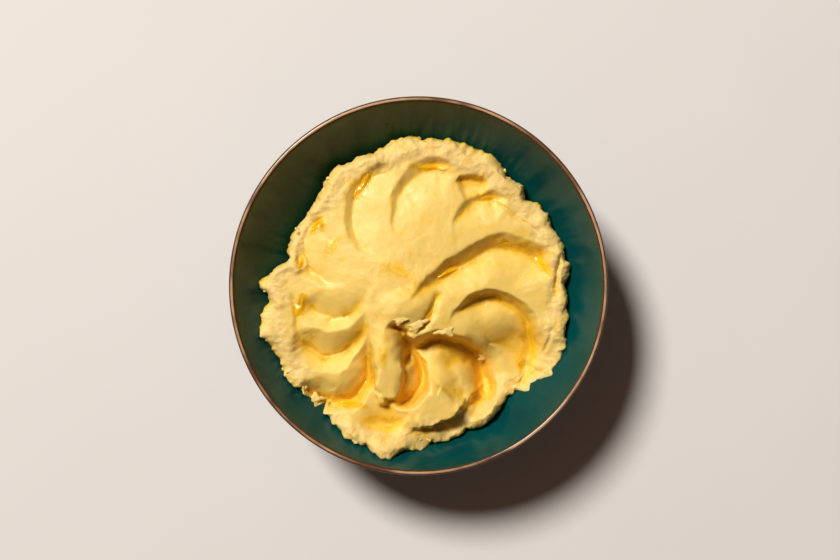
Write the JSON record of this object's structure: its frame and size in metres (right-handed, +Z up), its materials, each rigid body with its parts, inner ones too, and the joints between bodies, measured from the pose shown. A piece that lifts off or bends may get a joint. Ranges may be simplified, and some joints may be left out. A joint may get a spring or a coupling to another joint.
{
  "type": "mashed potato side in a bowl",
  "caption": "Round glazed stoneware bowl on a foot ring, filled with spoon-swirled mashed potato with melted butter in the swirls.",
  "frame": {"origin": "on the bowl's axis, at the flat foot that it stands on", "axes": "+Z up along the bowl's axis, +X to the right and +Y to the top of a picture taken from above"},
  "size_m": [0.22, 0.22, 0.07],
  "materials": {
    "teal_glaze": "glossy reactive glaze, teal breaking to olive brown near the rim",
    "mash": "soft moist mashed potato, cream with buttery gold hollows",
    "butter": "clear glossy melted butter"
  },
  "bodies": {
    "root": {"bowl": "teal_glaze", "mashed_potato": "mash"}
  },
  "joints": []
}
